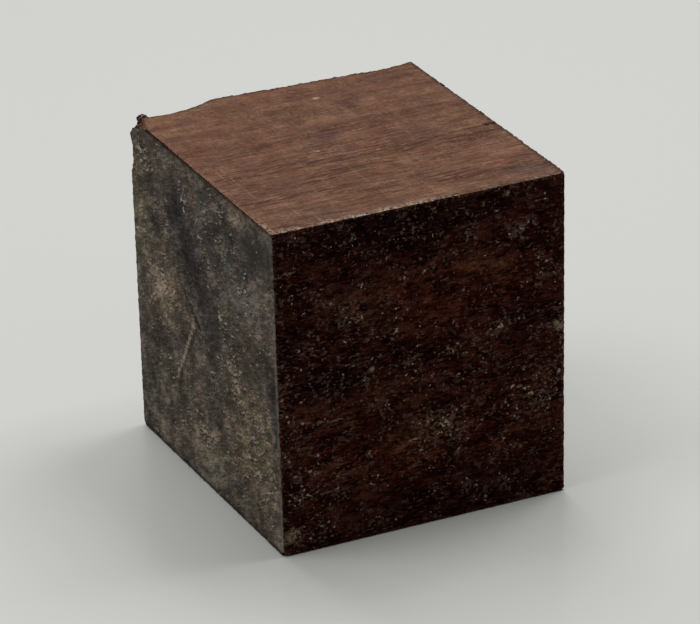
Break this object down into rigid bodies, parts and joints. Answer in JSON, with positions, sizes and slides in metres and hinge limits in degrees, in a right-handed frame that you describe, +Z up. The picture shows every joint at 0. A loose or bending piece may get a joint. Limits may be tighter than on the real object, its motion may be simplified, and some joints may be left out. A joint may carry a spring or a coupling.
{
  "type": "wood block",
  "caption": "Square-section offcut of dark hardwood with sawn ends, front and top, a wandering split rear face, eased arrises and a broken top corner.",
  "frame": {"origin": "middle of the bounding box at its lowest face, on the surface that the block stands on", "axes": "+X along the grain, from the left end to the right end as seen from the front; +Y from the front to the rear; +Z up"},
  "size_m": [0.046, 0.0498, 0.0503],
  "materials": {
    "dark_hardwood": "freshly sawn on the top, weathered grey on the end grain, near-black and grimy on the sides"
  },
  "bodies": {
    "root": {"wood_block": "dark_hardwood"}
  },
  "joints": []
}
